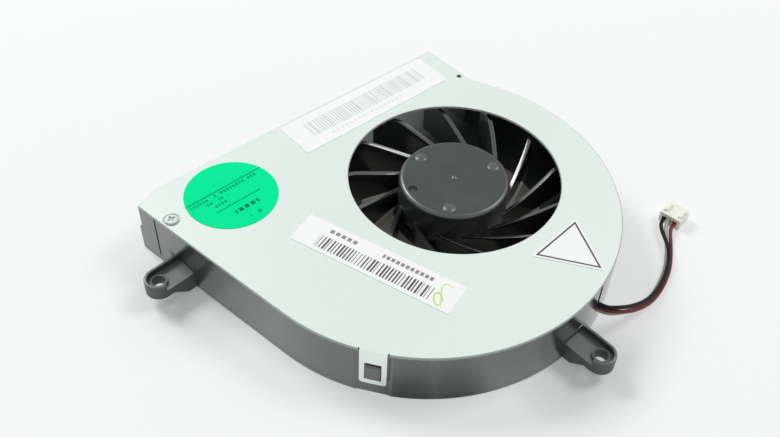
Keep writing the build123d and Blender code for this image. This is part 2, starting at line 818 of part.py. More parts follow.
triangle_corners = [polar(triangle_side / math.sqrt(3), triangle_angle + turn) for turn in (0, 120, 240)]
triangle_place = on_scroll(triangle_around, scroll_radius - triangle_inset)
with BuildPart() as triangle_label:
    with BuildSketch(Plane(origin=(*triangle_place, cover_top))) as triangle_sketch:
        with BuildLine():
            Polyline(*triangle_corners, close=True)
        make_face()
        fillet(triangle_sketch.vertices(), label_round)
    extrude(amount=sticker_thickness)
finish(triangle_label, "triangle_label")
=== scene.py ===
# %% [markdown]
# A laptop's blower fan, dressed for a studio picture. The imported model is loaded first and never
# moved: it is the skeleton that every other piece is set against. Blender counts in metres, and MM
# turns the millimetres of a drawing into them.

# %% Load the frame
import math

import bpy
import numpy as np
from mathutils import Euler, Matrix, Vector


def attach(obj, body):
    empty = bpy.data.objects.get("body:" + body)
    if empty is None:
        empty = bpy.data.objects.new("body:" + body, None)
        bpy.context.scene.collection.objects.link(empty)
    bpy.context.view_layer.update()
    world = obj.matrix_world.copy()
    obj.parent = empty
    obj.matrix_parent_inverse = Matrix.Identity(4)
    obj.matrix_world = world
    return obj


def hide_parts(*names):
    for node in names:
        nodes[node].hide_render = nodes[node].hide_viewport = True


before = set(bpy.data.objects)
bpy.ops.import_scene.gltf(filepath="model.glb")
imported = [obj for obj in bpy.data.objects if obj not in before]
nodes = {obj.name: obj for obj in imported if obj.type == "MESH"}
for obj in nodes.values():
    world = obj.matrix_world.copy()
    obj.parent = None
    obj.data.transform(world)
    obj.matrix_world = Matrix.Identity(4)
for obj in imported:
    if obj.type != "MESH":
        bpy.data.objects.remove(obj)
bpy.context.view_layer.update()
scene = bpy.context.scene
MM = 0.001

# %% [markdown]
# The camera looks down at the fan from its rounded corner, with the outlet edge at the back. Its
# place, turn and lens were found from the round inlet and the straight edges of the cover, so the
# fan fills the frame as it does in the picture that it was modelled from.

# %% Camera
camera_place = Vector((-107.97, -98.74, 149.59)) * MM
camera_turn = Euler([math.radians(angle) for angle in (44.002, -1.614, -40.790)])
camera_lens = 44.62
sensor_width = 36.0
nearest_seen = 0.01

camera_data = bpy.data.cameras.new("camera")
camera_data.lens = camera_lens
camera_data.sensor_width = sensor_width
camera_data.clip_start = nearest_seen
camera = bpy.data.objects.new("camera", camera_data)
camera.location = camera_place
camera.rotation_euler = camera_turn
scene.collection.objects.link(camera)
scene.camera = camera
looks_along = camera_turn.to_matrix() @ Vector((0, 0, -1))
print("camera looks along", [round(v, 3) for v in looks_along])

# %% [markdown]
# A material is a graph of nodes. The graph could be drawn by hand for each finish, but the finishes
# here share most of theirs, so a few helpers add the nodes: one for any node, and one each for a
# sum or product, a ramp from one value to another, and a blend of two colours.


# %% Helpers for nodes
def add_node(tree, kind, inputs=None, **settings):
    """Adds a shader node with settings, and feeds each named input from a socket or a constant."""
    node = tree.nodes.new(kind)
    for key, value in settings.items():
        setattr(node, key, value)
    for key, value in (inputs or {}).items():
        if isinstance(value, bpy.types.NodeSocket):
            tree.links.new(value, node.inputs[key])
        else:
            node.inputs[key].default_value = value
    return node


def calc(tree, operation, *values):
    """A Math node on sockets or numbers; returns its result socket."""
    inputs = dict(enumerate(values))
    return add_node(tree, "ShaderNodeMath", inputs, operation=operation).outputs[0]


def ramp(tree, value, start, end, low=0.0, high=1.0, kind="LINEAR"):
    """Goes from low, where the value is at start, to high, where it is at end, and stays there."""
    inputs = {"Value": value, "From Min": start, "From Max": end, "To Min": low, "To Max": high}
    return add_node(tree, "ShaderNodeMapRange", inputs, interpolation_type=kind).outputs[0]


def colour_mix(tree, share, first, second):
    """The first colour where the share is zero, the second where it is one, a blend between."""
    inputs = {"Factor": share, "A": first, "B": second}
    return add_node(tree, "ShaderNodeMix", inputs, data_type="RGBA").outputs["Result"]


print("node helpers", [helper.__name__ for helper in (add_node, calc, ramp, colour_mix)])

# %% [markdown]
# A finish is a Principled shader whose colour, roughness and small relief change a little from
# place to place, as on any real surface. One noise on Object coordinates drives the slow drift of
# colour and roughness, and a finer one gives the grain that the light catches. One function makes
# all of them, so that they are alike in build and easy to compare.

# %% Helpers for finishes
colour_span = (0.7, 1.3)
gloss_span = (0.3, 0.7)


def surface(
    name, dark, light, rough, drift=0.02, grain=0.0003, relief=0.00001, metallic=0.0, **sockets
):
    """A finish between two colours and two roughnesses: drift and grain are the sizes of its
    patches and of its fine relief in metres, relief is the height of that relief, and the shader's
    other sockets are given by their names."""
    material = bpy.data.materials.new(name)
    material.use_nodes = True
    tree = material.node_tree
    shader = tree.nodes["Principled BSDF"]
    place = add_node(tree, "ShaderNodeTexCoord").outputs["Object"]
    slow = {"Vector": place, "Scale": 1 / drift, "Detail": 5.0}
    fine = {"Vector": place, "Scale": 1 / grain, "Detail": 3.0}
    patches = add_node(tree, "ShaderNodeTexNoise", slow).outputs["Fac"]
    specks = add_node(tree, "ShaderNodeTexNoise", fine).outputs["Fac"]
    share = ramp(tree, calc(tree, "ADD", patches, specks), *colour_span)
    colour = colour_mix(tree, share, (*dark, 1.0), (*light, 1.0))
    gloss = ramp(tree, patches, *gloss_span, *rough)
    bump = add_node(tree, "ShaderNodeBump", {"Height": specks, "Distance": relief, "Strength": 1.0})
    tree.links.new(colour, shader.inputs["Base Color"])
    tree.links.new(gloss, shader.inputs["Roughness"])
    tree.links.new(bump.outputs["Normal"], shader.inputs["Normal"])
    shader.inputs["Metallic"].default_value = metallic
    for socket, value in sockets.items():
        shader.inputs[socket.replace("_", " ")].default_value = value
    return material


def dress(node_name, material):
    """Gives a node of the frame its finish, in place of the plain one that it came with."""
    mesh = nodes[node_name].data
    mesh.materials.clear()
    mesh.materials.append(material)


print("finish helpers", [helper.__name__ for helper in (surface, dress)])

# %% [markdown]
# The lead is three thin wires with soft insulation. They leave a slot in the wall one above the
# other, drop to the table and run to the plug, two on the table and the black one on top of them.
# Each route is a list of control points in millimetres, chosen so that the curve near them bends
# as the real wire does.

# %% Lead routes
white_route = [
    (0.95, -39.24, 5.5), (1.4, -40.92, 5.5), (3.4, -41.9, 4.7), (5.9, -42.4, 3.6),
    (8.6, -42.6, 2.5), (11.5, -42.6, 1.5), (14.7, -42.35, 0.8), (18.35, -41.5, 0.45),
    (21.9, -40.2, 0.42), (24.8, -38.75, 0.42), (27.8, -36.7, 0.42), (30.15, -34.75, 0.5),
    (32.1, -32.9, 0.95), (33.75, -31.67, 1.3), (35.69, -31.39, 1.3),
]
red_route = [
    (0.95, -39.24, 6.35), (1.43, -41.03, 6.35), (3.4, -42.3, 5.6), (5.9, -43.1, 4.45),
    (8.6, -43.45, 3.2), (11.6, -43.5, 2.05), (14.9, -43.25, 1.1), (18.7, -42.35, 0.5),
    (22.35, -41.05, 0.42), (25.3, -39.55, 0.42), (28.35, -37.4, 0.42), (30.8, -35.4, 0.5),
    (32.6, -33.75, 0.95), (33.95, -32.9, 1.3), (35.86, -32.63, 1.3),
]
black_route = [
    (0.95, -39.24, 7.2), (1.4, -40.92, 7.2), (3.4, -41.9, 6.5), (5.9, -42.5, 5.3),
    (8.6, -42.8, 4.0), (11.5, -42.9, 2.85), (14.8, -42.7, 1.9), (18.5, -41.9, 1.35),
    (22.1, -40.6, 1.2), (25.05, -39.1, 1.22), (28.0, -36.9, 1.32), (29.95, -34.4, 1.32),
    (31.5, -32.1, 1.28), (33.45, -30.48, 1.3), (35.52, -30.15, 1.3),
]
print("route points", len(white_route), len(red_route), len(black_route))

# %% [markdown]
# A wire is a smooth spline along its route with a round bevel. A mesh tube would also do, but the
# spline keeps its bends even and its thickness true. The insulation is soft plastic: the white one
# is yellowish, with painted shade in its darker grey colour, and the dark ones have little shine.

# %% Lead wires
wire_diameter = 0.8 * MM


def lead_wire(name, node_name, route, finish):
    """A round wire: one open spline of degree two with the route's points as its control points."""
    curve = bpy.data.curves.new(name, "CURVE")
    curve.dimensions = "3D"
    spline = curve.splines.new("NURBS")
    spline.points.add(len(route) - 1)
    points = np.ones((len(route), 4), np.float32)
    points[:, :3] = np.array(route) * MM
    spline.points.foreach_set("co", points.ravel())
    spline.order_u = 3
    spline.use_endpoint_u = True
    spline.resolution_u = 12
    curve.bevel_depth = wire_diameter / 2
    curve.bevel_resolution = 5
    curve.use_fill_caps = True
    curve.materials.append(finish)
    wire = bpy.data.objects.new(name, curve)
    scene.collection.objects.link(wire)
    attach(wire, "housing")
    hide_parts(node_name)


# The white insulation's grey colour is painted shade: the wire itself is a yellowish white.
white_shaded_finish = surface(
    "white_insulation", (0.33, 0.33, 0.26), (0.46, 0.45, 0.36), (0.3, 0.45), drift=0.004,
)
red_finish = surface(
    "red_insulation", (0.12, 0.01, 0.01), (0.19, 0.022, 0.02), (0.28, 0.42), drift=0.004,
    Specular_IOR_Level=0.25,
)
black_finish = surface(
    "black_insulation", (0.004, 0.004, 0.004), (0.01, 0.01, 0.01), (0.25, 0.4), drift=0.004,
    Specular_IOR_Level=0.12,
)
lead_wire("lead_white", "wire_white", white_route, white_shaded_finish)
lead_wire("lead_red", "wire_red", red_route, red_finish)
lead_wire("lead_black", "wire_black", black_route, black_finish)

# %% [markdown]
# Parts of one moulding often have different skins. Such an area could be a piece of its own or get
# a second material on its faces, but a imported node's mesh is left alone here. So a mask picks the
# area out by its place: it is one inside and zero outside, and is worked out from the Object
# coordinates. Masks are joined by a product, where all have to be one, or by the largest of them.


# %% Masks by place
def object_axes(tree):
    """The three Object coordinates as separate sockets."""
    place = add_node(tree, "ShaderNodeTexCoord").outputs["Object"]
    return add_node(tree, "ShaderNodeSeparateXYZ", {"Vector": place}).outputs


def between(tree, value, low, high):
    """One where a value lies between two lengths in millimetres, and zero elsewhere."""
    above = calc(tree, "GREATER_THAN", value, low * MM)
    return calc(tree, "MULTIPLY", above, calc(tree, "LESS_THAN", value, high * MM))


def away_from(tree, x, y, centre):
    """The distance in plan from a point in millimetres: the root of the sum of two squares."""
    aside = calc(tree, "POWER", calc(tree, "SUBTRACT", x, centre[0] * MM), 2.0)
    along = calc(tree, "POWER", calc(tree, "SUBTRACT", y, centre[1] * MM), 2.0)
    return calc(tree, "SQRT", calc(tree, "ADD", aside, along))


def combine(tree, operation, values):
    """Joins several sockets into one with a Math operation, one after the other."""
    total = values[0]
    for value in values[1:]:
        total = calc(tree, operation, total, value)
    return total


def colour_over(tree, mask, colour):
    """Lays a colour over the shader's base colour where the mask is one."""
    base = tree.nodes["Principled BSDF"].inputs["Base Color"]
    under = base.links[0].from_socket
    tree.links.new(colour_mix(tree, mask, under, (*colour, 1.0)), base)


def dull_over(tree, mask, rough):
    """Brings the shader's roughness to a value where the mask is one."""
    gloss = tree.nodes["Principled BSDF"].inputs["Roughness"]
    under = gloss.links[0].from_socket
    tree.links.new(ramp(tree, mask, 0.0, 1.0, under, rough), gloss)


mask_helpers = (object_axes, between, away_from, combine, colour_over, dull_over)
print("mask helpers", [helper.__name__ for helper in mask_helpers])

# %% [markdown]
# The housing is moulded in black plastic with a fine spark-eroded grain. Its own colour is almost
# black, and most of what shows on its walls is the pale table, mirrored in a semi-gloss skin: the
# flatter the glance, the paler the wall. A clear coat adds to that skin. The screw ears and the
# inner floor are duller, so the coat is left off there. The floors of the ears' trays are greyer,
# and a ring of the inner floor is paler and shows between the blades.

# %% Housing plastic
ear_holes = ((-59.47, 19.99), (-6.36, -46.89))
ear_reach = (7.7 * MM, 7.2 * MM)
ear_height = (6.3 * MM, 5.5 * MM)
tray_level = 4.6
tray_reach = 6.6 * MM
tray_grey = (0.13, 0.146, 0.142)
floor_level = 1.2
level_play = 0.05
pale_ring = (12.3, 19.4)
pale_grey = (0.55, 0.52, 0.47)
bare_rough = 0.5
coat_weight = 0.7

housing_finish = surface(
    "housing_plastic", (0.024, 0.028, 0.027), (0.036, 0.041, 0.039), (0.2, 0.28), drift=0.03,
    grain=0.00025, relief=0.000006, Specular_IOR_Level=1.0,
    Specular_Tint=(0.86, 1.0, 0.94, 1.0), Coat_Roughness=0.24,
)
tree = housing_finish.node_tree
x, y, z = object_axes(tree)
ear_away = combine(tree, "MINIMUM", [away_from(tree, x, y, hole) for hole in ear_holes])
in_tray = calc(tree, "LESS_THAN", ear_away, tray_reach)
at_tray = between(tree, z, tray_level - level_play, tray_level + level_play)
colour_over(tree, calc(tree, "MULTIPLY", in_tray, at_tray), tray_grey)

near_ear = calc(tree, "MULTIPLY", ramp(tree, ear_away, *ear_reach), ramp(tree, z, *ear_height))
on_floor = between(tree, z, floor_level - level_play, floor_level + level_play)
bare = calc(tree, "MAXIMUM", near_ear, on_floor)
dull_over(tree, bare, bare_rough)
coat = calc(tree, "MULTIPLY_ADD", bare, -coat_weight, coat_weight)
tree.links.new(coat, tree.nodes["Principled BSDF"].inputs["Coat Weight"])

in_ring = between(tree, away_from(tree, x, y, (0.0, 0.0)), *pale_ring)
colour_over(tree, calc(tree, "MULTIPLY", on_floor, in_ring), pale_grey)
dress("base_housing", housing_finish)
print("housing dressed, ear trays at", tray_level, "mm, inner floor at", floor_level, "mm")

# %% [markdown]
# The rotor is one moulding: a cup-shaped hub and thirteen curved blades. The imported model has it
# with sharp edges, but the real one has eased corners that catch the light. A bevel modifier would
# have to guess at long thin triangles, so the rotor is worked out afresh, the hub first. It is a
# profile turned about the axis: a ring of points for each point of the profile.

# %% Hub
hub_radius = 11.5 * MM
hub_bore = 10.6 * MM
hub_top = 11.85 * MM
hub_waist = 8.0 * MM
hub_bottom = 3.55 * MM
hub_rim = 1.0 * MM
hub_foot = 0.2 * MM
roof_under = 10.85 * MM
boss_radius = 2.2 * MM
boss_bottom = 9.85 * MM
shaft_bore = 1.02 * MM
shaft_top = 11.05 * MM
top_step = 0.1


def tube_faces(rows, columns):
    """Quads between neighbouring rows of a grid whose columns close on themselves."""
    row, column = np.meshgrid(np.arange(rows - 1), np.arange(columns), indexing="ij")
    beside = (column + 1) % columns
    here, below = row * columns, (row + 1) * columns
    corners = [here + column, below + column, below + beside, here + beside]
    return np.stack(corners, axis=-1).reshape(-1, 4)


def hub_profile():
    """The radius and height of each point of the profile, from the middle of the top over the
    rim's quarter circle, down the side, round the foot's quarter circle and up inside the cup;
    also how many of the points lie on the flat top."""
    quarter = np.linspace(0.0, np.pi / 2, 9)[1:]
    top_radii = np.arange(top_step, (hub_radius - hub_rim) / MM, top_step) * MM
    radii = np.concatenate([
        top_radii,
        hub_radius - hub_rim + hub_rim * np.sin(quarter),
        [hub_radius, hub_radius],
        hub_radius - hub_foot + hub_foot * np.cos(quarter),
        [hub_bore, hub_bore, boss_radius, boss_radius, shaft_bore, shaft_bore],
    ])
    heights = np.concatenate([
        np.full(len(top_radii), hub_top),
        hub_top - hub_rim + hub_rim * np.cos(quarter),
        [hub_waist, hub_bottom + hub_foot],
        hub_bottom + hub_foot - hub_foot * np.sin(quarter),
        [hub_bottom, roof_under, roof_under, boss_bottom, boss_bottom, shaft_top],
    ])
    return radii, heights, len(top_radii)


profile_radii, profile_heights, top_rows = hub_profile()
print("hub profile", len(profile_radii), "points,", top_rows, "on its top")

# %% [markdown]
# Three low round marks, a smaller one in the middle and a balance dimple are on the hub's top. They
# could be cut with booleans, but as a relief, a height for every place of the top, they need no
# more than a sum, and the fine rings of the top take their shape.

# %% Hub with its marks
pip_radius = 0.55 * MM
pip_height = 0.25 * MM
mark_circle = 9.0 * MM
mark_radius = 1.3 * MM
mark_height = 0.3 * MM
mark_angles = (98.0, -18.0, -140.0)
dimple_circle = 9.4 * MM
dimple_radius = 0.85 * MM
dimple_depth = 0.5 * MM
dimple_slope = 0.15 * MM
dimple_angle = 162.0


def raised_mark(distance, radius, height):
    """The height of a round mark at a distance from its centre: a cap cut from a sphere whose
    radius follows from the cap's own radius and height."""
    ball = (radius**2 + height**2) / (2 * height)
    return np.sqrt(ball**2 - np.minimum(distance, radius) ** 2) - (ball - height)


def distance_to(x, y, circle, angle):
    """The distance in plan from the point at an angle, in degrees, on a circle about the axis."""
    turn = np.radians(angle)
    return np.hypot(x - circle * np.cos(turn), y - circle * np.sin(turn))


def hub_relief(x, y):
    """The sum of the raised marks, less the dimple: a depth that fades out along a short slope."""
    relief = raised_mark(np.hypot(x, y), pip_radius, pip_height)
    for angle in mark_angles:
        away = distance_to(x, y, mark_circle, angle)
        relief = relief + raised_mark(away, mark_radius, mark_height)
    away = distance_to(x, y, dimple_circle, dimple_angle)
    return relief - dimple_depth * np.clip((dimple_radius - away) / dimple_slope + 0.5, 0.0, 1.0)


def hub_surface(columns=400):
    """The profile turned about the axis: radius times cosine and sine of the turn, and the
    profile's height, plus the relief on the top. A fan of triangles closes each end."""
    turn = np.linspace(0.0, 2 * np.pi, columns, endpoint=False)
    x = profile_radii[:, None] * np.cos(turn)
    y = profile_radii[:, None] * np.sin(turn)
    z = np.repeat(profile_heights[:, None], columns, axis=1)
    z[:top_rows] += hub_relief(x[:top_rows], y[:top_rows])
    points = np.stack([x, y, z], axis=-1).reshape(-1, 3)
    poles = np.array([(0.0, 0.0, hub_top + pip_height), (0.0, 0.0, shaft_top)])
    around = np.arange(columns)
    beside = (around + 1) % columns
    last = (len(profile_radii) - 1) * columns
    top_pole, inner_pole = len(points), len(points) + 1
    fans = np.concatenate([
        np.stack([np.full(columns, top_pole), around, beside], axis=-1),
        np.stack([np.full(columns, inner_pole), last + beside, last + around], axis=-1),
    ])
    return np.concatenate([points, poles]), [tube_faces(len(profile_radii), columns), fans]


hub_points, hub_faces = hub_surface()
print("hub", len(hub_points), "points", sum(map(len, hub_faces)), "faces")

# %% [markdown]
# A blade is a thin upright wall, bent to an arc in plan. Its inlet edge is cut by a shallow cone
# that rises from the hub to a shoulder, and where that edge faces half-way between a lamp and the
# eye it flashes white. So two curves come first: the arc in plan, and the height of the cone.

# %% Blade lines
blade_top = 11.15 * MM
root_top = 6.35 * MM
shoulder_radius = 21.5 * MM
shoulder_ease = 0.25 * MM
camber_points = ((11.05, -36.8), (19.24, -4.5), (26.98, 7.5))
blade_stations = 56


def circle_through(first, middle, last):
    """The centre and radius of the circle through three points of a plane, from the two equations
    that say the centre is as far from the first point as from each of the others."""
    rows = 2 * np.array([middle - first, last - first])
    sums = np.array([middle @ middle - first @ first, last @ last - first @ first])
    centre = np.linalg.solve(rows, sums)
    return centre, np.linalg.norm(first - centre)


def blade_arc():
    """Stations at even steps of angle on the circle through the camber points, which are given as
    a radius and an angle about the rotor's axis, and at each the direction to the blade's left."""
    radii, angles = np.array(camber_points).T
    aims = np.stack([np.cos(np.radians(angles)), np.sin(np.radians(angles))], axis=-1)
    plan = (radii * MM)[:, None] * aims
    centre, bend = circle_through(*plan)
    ends = np.unwrap([np.arctan2(*(point - centre)[::-1]) for point in plan])
    sweep = np.linspace(ends[0], ends[2], blade_stations)
    outwards = np.stack([np.cos(sweep), np.sin(sweep)], axis=-1)
    return centre + bend * outwards, -np.sign(ends[2] - ends[0]) * outwards


def inlet_height(radius):
    """The height of a blade's inlet edge: straight up from the hub to the shoulder and level past
    it, with the corner eased by the square root of a small square."""
    slope = (blade_top - root_top) / (shoulder_radius - hub_radius)
    rise = root_top + slope * (radius - hub_radius)
    eased = (rise + blade_top - np.sqrt((rise - blade_top) ** 2 + shoulder_ease**2)) / 2
    return np.maximum(eased, root_top)


blade_spine, blade_left = blade_arc()
blade_length = np.linalg.norm(np.diff(blade_spine, axis=0), axis=1).sum()
print("blade arc", round(blade_length / MM, 2), "mm long")

# %% [markdown]
# The blade's section is carried along that arc. It goes up one side, over a flat top with two eased
# corners and down the other side, and every point of it ends at the cone's height for its own
# radius. One blade is worked out, and turning it about the axis gives all thirteen in one array.

# %% Blades
blade_count = 13
blade_phase = 108.0
blade_thickness = 0.9 * MM
blade_bottom = 2.6 * MM
blade_ease = 0.08 * MM
side_steps = 5
corner_steps = 5


def blade_section():
    """For each point of the section: its place across the blade, the share of the blade's height
    that it reaches, and what the corner's quarter circle adds. The other half mirrors the first."""
    half = blade_thickness / 2
    quarter = np.linspace(0.0, np.pi / 2, corner_steps)
    corner = half - blade_ease + blade_ease * np.cos(quarter)
    across = np.concatenate([np.full(side_steps, half), corner])
    share = np.concatenate([np.linspace(0.0, 1.0, side_steps + 1), np.ones(corner_steps - 1)])
    bulge = np.concatenate([np.zeros(side_steps), blade_ease * np.sin(quarter)])
    return (
        np.concatenate([-across, across[::-1]]),
        np.concatenate([share, share[::-1]]),
        np.concatenate([bulge, bulge[::-1]]),
    )


def blade_surface():
    """Blades: the section set across the arc at each station, each point as high as its share of
    the cone at its own radius, and the same again turned for every blade."""
    across, share, bulge = blade_section()
    flat = blade_spine[:, None, :] + blade_left[:, None, :] * across[:, None]
    crest = inlet_height(np.linalg.norm(flat, axis=-1))
    height = blade_bottom + (crest - blade_ease - blade_bottom) * share + bulge
    turns = np.radians(blade_phase + np.arange(blade_count) * 360 / blade_count)
    cosine, sine = np.cos(turns)[:, None, None], np.sin(turns)[:, None, None]
    x = flat[..., 0] * cosine - flat[..., 1] * sine
    y = flat[..., 0] * sine + flat[..., 1] * cosine
    points = np.stack([x, y, np.broadcast_to(height, x.shape)], axis=-1).reshape(-1, 3)
    section = len(across)
    size = blade_stations * section
    starts = np.arange(blade_count)[:, None] * size
    walls = (tube_faces(blade_stations, section)[None] + starts[..., None]).reshape(-1, 4)
    roots = np.arange(section) + starts
    tips = np.arange(section)[::-1] + size - section + starts
    return points, [walls, roots, tips]


blade_points, blade_faces = blade_surface()
print("blades", len(blade_points), "points", sum(map(len, blade_faces)), "faces")

# %% [markdown]
# A surface of arrays becomes a mesh with foreach_set, which hands whole arrays to Blender at once.
# A new piece is shaded smooth apart from its sharp edges and tied to the body that it moves with.


# %% Helpers for new pieces
def new_mesh(name, points, groups):
    """A mesh from arrays: points is n by 3, and each group holds faces with as many corners."""
    corners = np.concatenate([group.ravel() for group in groups]).astype(np.int32)
    sizes = np.concatenate([np.full(len(group), group.shape[1]) for group in groups])
    mesh = bpy.data.meshes.new(name)
    mesh.vertices.add(len(points))
    mesh.vertices.foreach_set("co", points.astype(np.float32).ravel())
    mesh.loops.add(len(corners))
    mesh.loops.foreach_set("vertex_index", corners)
    mesh.polygons.add(len(sizes))
    mesh.polygons.foreach_set("loop_start", (np.cumsum(sizes) - sizes).astype(np.int32))
    mesh.update(calc_edges=True)
    return mesh


def new_piece(name, points, groups, body, slot_name, finishes, finish_index=None, sharp=35.0):
    """Makes a piece from points and groups of faces, smooth apart from edges that turn by more
    than the sharp angle, ties it to a body and gives it the finishes. The slot name is not used."""
    mesh = new_mesh(name, points, groups)
    for finish in finishes:
        mesh.materials.append(finish)
    mesh.polygons.foreach_set("use_smooth", np.ones(len(mesh.polygons), bool))
    if finish_index is not None:
        mesh.polygons.foreach_set("material_index", finish_index)
    mesh.set_sharp_from_angle(angle=math.radians(sharp))
    mesh.update()
    piece = bpy.data.objects.new(name, mesh)
    scene.collection.objects.link(piece)
    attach(piece, body)
    return piece


print("piece helpers", [helper.__name__ for helper in (new_mesh, new_piece)])

# %% [markdown]
# The mould gave the rotor three skins: a sparked, matt top on the hub, smoother marks and sides,
# and polished blades. They are one plastic, and each face gets the number of its skin. The matt
# faces are picked by their height and their distance from the axis.

# %% Rotor as one piece
matt_below = 0.6 * MM
matt_above = 0.01 * MM

hub_finish = surface(
    "hub_plastic", (0.021, 0.03, 0.027), (0.039, 0.051, 0.047), (0.46, 0.56), drift=0.006,
    grain=0.00035, relief=0.00002,
)
polish_finish = surface(
    "polished_plastic", (0.026, 0.031, 0.029), (0.036, 0.041, 0.039), (0.32, 0.38), drift=0.008,
    grain=0.0004, relief=0.000002, Specular_IOR_Level=1.0,
)
blade_finish = surface(
    "blade_plastic", (0.013, 0.015, 0.015), (0.021, 0.023, 0.023), (0.16, 0.22), drift=0.01,
    grain=0.0004, relief=0.000001, Specular_IOR_Level=1.0,
)
face_x, face_y, face_z = hub_points[np.concatenate([group[:, 0] for group in hub_faces])].T
hub_matt = (face_z > hub_top - matt_below) & (face_z < hub_top + matt_above)
hub_matt &= np.hypot(face_x, face_y) < hub_radius - hub_rim
blade_total = sum(map(len, blade_faces))
rotor_skin = np.concatenate([np.where(hub_matt, 0, 1), np.full(blade_total, 2)]).astype(np.int32)
rotor_faces = hub_faces + [group + len(hub_points) for group in blade_faces]
rotor = new_piece(
    "rotor_moulding", np.concatenate([hub_points, blade_points]), rotor_faces, "rotor",
    "black_plastic", [hub_finish, polish_finish, blade_finish], rotor_skin,
)
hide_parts("impeller")
print("rotor", len(rotor.data.polygons), "faces, matt", int(hub_matt.sum()))

# %% [markdown]
# The cover is thin plated sheet with a satin skin. It mirrors its surroundings in a soft blur, so
# its brightness comes from what stands around it and its tint from the plating. Its sheared edge is
# duller, which a mask draws just under the top and along the front arc. The bent latch tab is left
# out, because the plating runs on round it, and so is the pressed dish of the screw, which gets a
# darker, duller grey of painted shade for its hollow, paler than the edge.

# %% Cover
edge_heights = (12.6498 * MM, 12.6495 * MM)
sheet_under = 12.16 * MM
scroll_middle = (-9.4, -0.6)
scroll_rim = 39.8 * MM
front_limit = -5.0 * MM
tab_middle = (-42.0, -23.8)
tab_reach = 2.75 * MM
screw_middle = (-51.9, 25.57)
dish_reach = 1.8 * MM
sheared_grey = (0.42, 0.46, 0.44)
dish_shade_grey = (0.64, 0.7, 0.67)
edge_rough = 0.8

cover_finish = surface(
    "plated_sheet", (0.782, 0.864, 0.818), (0.812, 0.894, 0.848), (0.16, 0.2), drift=0.05,
    grain=0.0006, relief=0.0000015, metallic=0.85,
)
tree = cover_finish.node_tree
x, y, z = object_axes(tree)
below_top = ramp(tree, z, *edge_heights)
screw_away = away_from(tree, x, y, screw_middle)
front_arc = combine(tree, "MULTIPLY", [
    calc(tree, "GREATER_THAN", away_from(tree, x, y, scroll_middle), scroll_rim),
    calc(tree, "LESS_THAN", y, front_limit),
])
sheared = combine(tree, "MULTIPLY", [
    calc(tree, "MAXIMUM", below_top, front_arc),
    calc(tree, "GREATER_THAN", z, sheet_under),
    calc(tree, "GREATER_THAN", away_from(tree, x, y, tab_middle), tab_reach),
    calc(tree, "GREATER_THAN", screw_away, dish_reach),
])
# The dish gets a darker, duller grey: painted shade for its hollow.
dish = calc(tree, "MULTIPLY", below_top, calc(tree, "LESS_THAN", screw_away, dish_reach))
for mask, grey in ((sheared, sheared_grey), (dish, dish_shade_grey)):
    colour_over(tree, mask, grey)
    dull_over(tree, mask, edge_rough)
dress("top_cover", cover_finish)
print("cover dressed,", len(tree.nodes), "nodes in its finish")

# %% [markdown]
# The cover's screw is plated steel, duller than the sheet. The plug is cream nylon that lets a
# little light in, which a share of subsurface scattering gives, with tinned contacts in its
# cavities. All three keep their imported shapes.

# %% Screw and plug
screw_finish = surface(
    "plated_screw", (0.42, 0.45, 0.435), (0.5, 0.53, 0.515), (0.55, 0.65), drift=0.001,
    grain=0.0001, relief=0.000004, metallic=1.0,
)
plug_finish = surface(
    "cream_nylon", (0.88, 0.875, 0.79), (0.93, 0.925, 0.85), (0.3, 0.42), drift=0.003,
    grain=0.0002, relief=0.000004, Subsurface_Weight=0.25, Subsurface_Scale=0.001,
)
contact_finish = surface(
    "tinned_contact", (0.62, 0.58, 0.48), (0.78, 0.74, 0.62), (0.2, 0.35), drift=0.001,
    grain=0.0001, relief=0.000003, metallic=1.0,
)
dress("cover_screw", screw_finish)
dress("plug_housing", plug_finish)
dress("plug_terminals", contact_finish)
print("dressed", screw_finish.name, plug_finish.name, contact_finish.name)

# %% [markdown]
# Inside the housing sit the bearing, the motor and its small circuit board. They hardly show, but
# each has the finish of its own material. The finishes differ only in a few numbers, so a table
# holds them, one row for each material.

# %% Inner finishes
METAL, PLAIN = 1.0, 0.0
# Each row: dark and light colour, lowest and highest roughness, size of the patches, metallic
inner_rows = {
    "bright_steel": ((0.55, 0.55, 0.55), (0.7, 0.7, 0.69), (0.2, 0.35), 0.004, METAL),
    "turned_brass": ((0.6, 0.46, 0.22), (0.74, 0.6, 0.32), (0.22, 0.34), 0.004, METAL),
    "sintered_bronze": ((0.36, 0.25, 0.14), (0.52, 0.39, 0.24), (0.4, 0.55), 0.002, METAL),
    "wear_plastic": ((0.66, 0.62, 0.5), (0.76, 0.72, 0.6), (0.35, 0.5), 0.003, PLAIN),
    "bonded_magnet": ((0.07, 0.066, 0.06), (0.11, 0.105, 0.1), (0.5, 0.65), 0.003, PLAIN),
    "stacked_steel": ((0.36, 0.36, 0.37), (0.48, 0.48, 0.49), (0.35, 0.5), 0.003, METAL),
    "ivory_plastic": ((0.72, 0.72, 0.67), (0.82, 0.82, 0.77), (0.4, 0.5), 0.004, PLAIN),
    "enamelled_copper": ((0.6, 0.26, 0.1), (0.78, 0.4, 0.18), (0.2, 0.3), 0.002, METAL),
    "lacquered_board": ((0.03, 0.15, 0.06), (0.05, 0.22, 0.1), (0.25, 0.4), 0.004, PLAIN),
    "chip_moulding": ((0.02, 0.02, 0.02), (0.04, 0.04, 0.04), (0.45, 0.6), 0.002, PLAIN),
    "chip_ceramic": ((0.4, 0.3, 0.2), (0.52, 0.41, 0.29), (0.35, 0.5), 0.001, PLAIN),
    "inner_insulation": ((0.18, 0.15, 0.12), (0.28, 0.24, 0.2), (0.3, 0.45), 0.004, PLAIN),
}
inner_finishes = {
    name: surface(name, dark, light, rough, drift=drift, metallic=metallic)
    for name, (dark, light, rough, drift, metallic) in inner_rows.items()
}
print("inner finishes", len(inner_finishes))

# %% [markdown]
# A second table says which node gets which finish. Pieces of one material share it, as the shaft
# and the yoke do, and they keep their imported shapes.

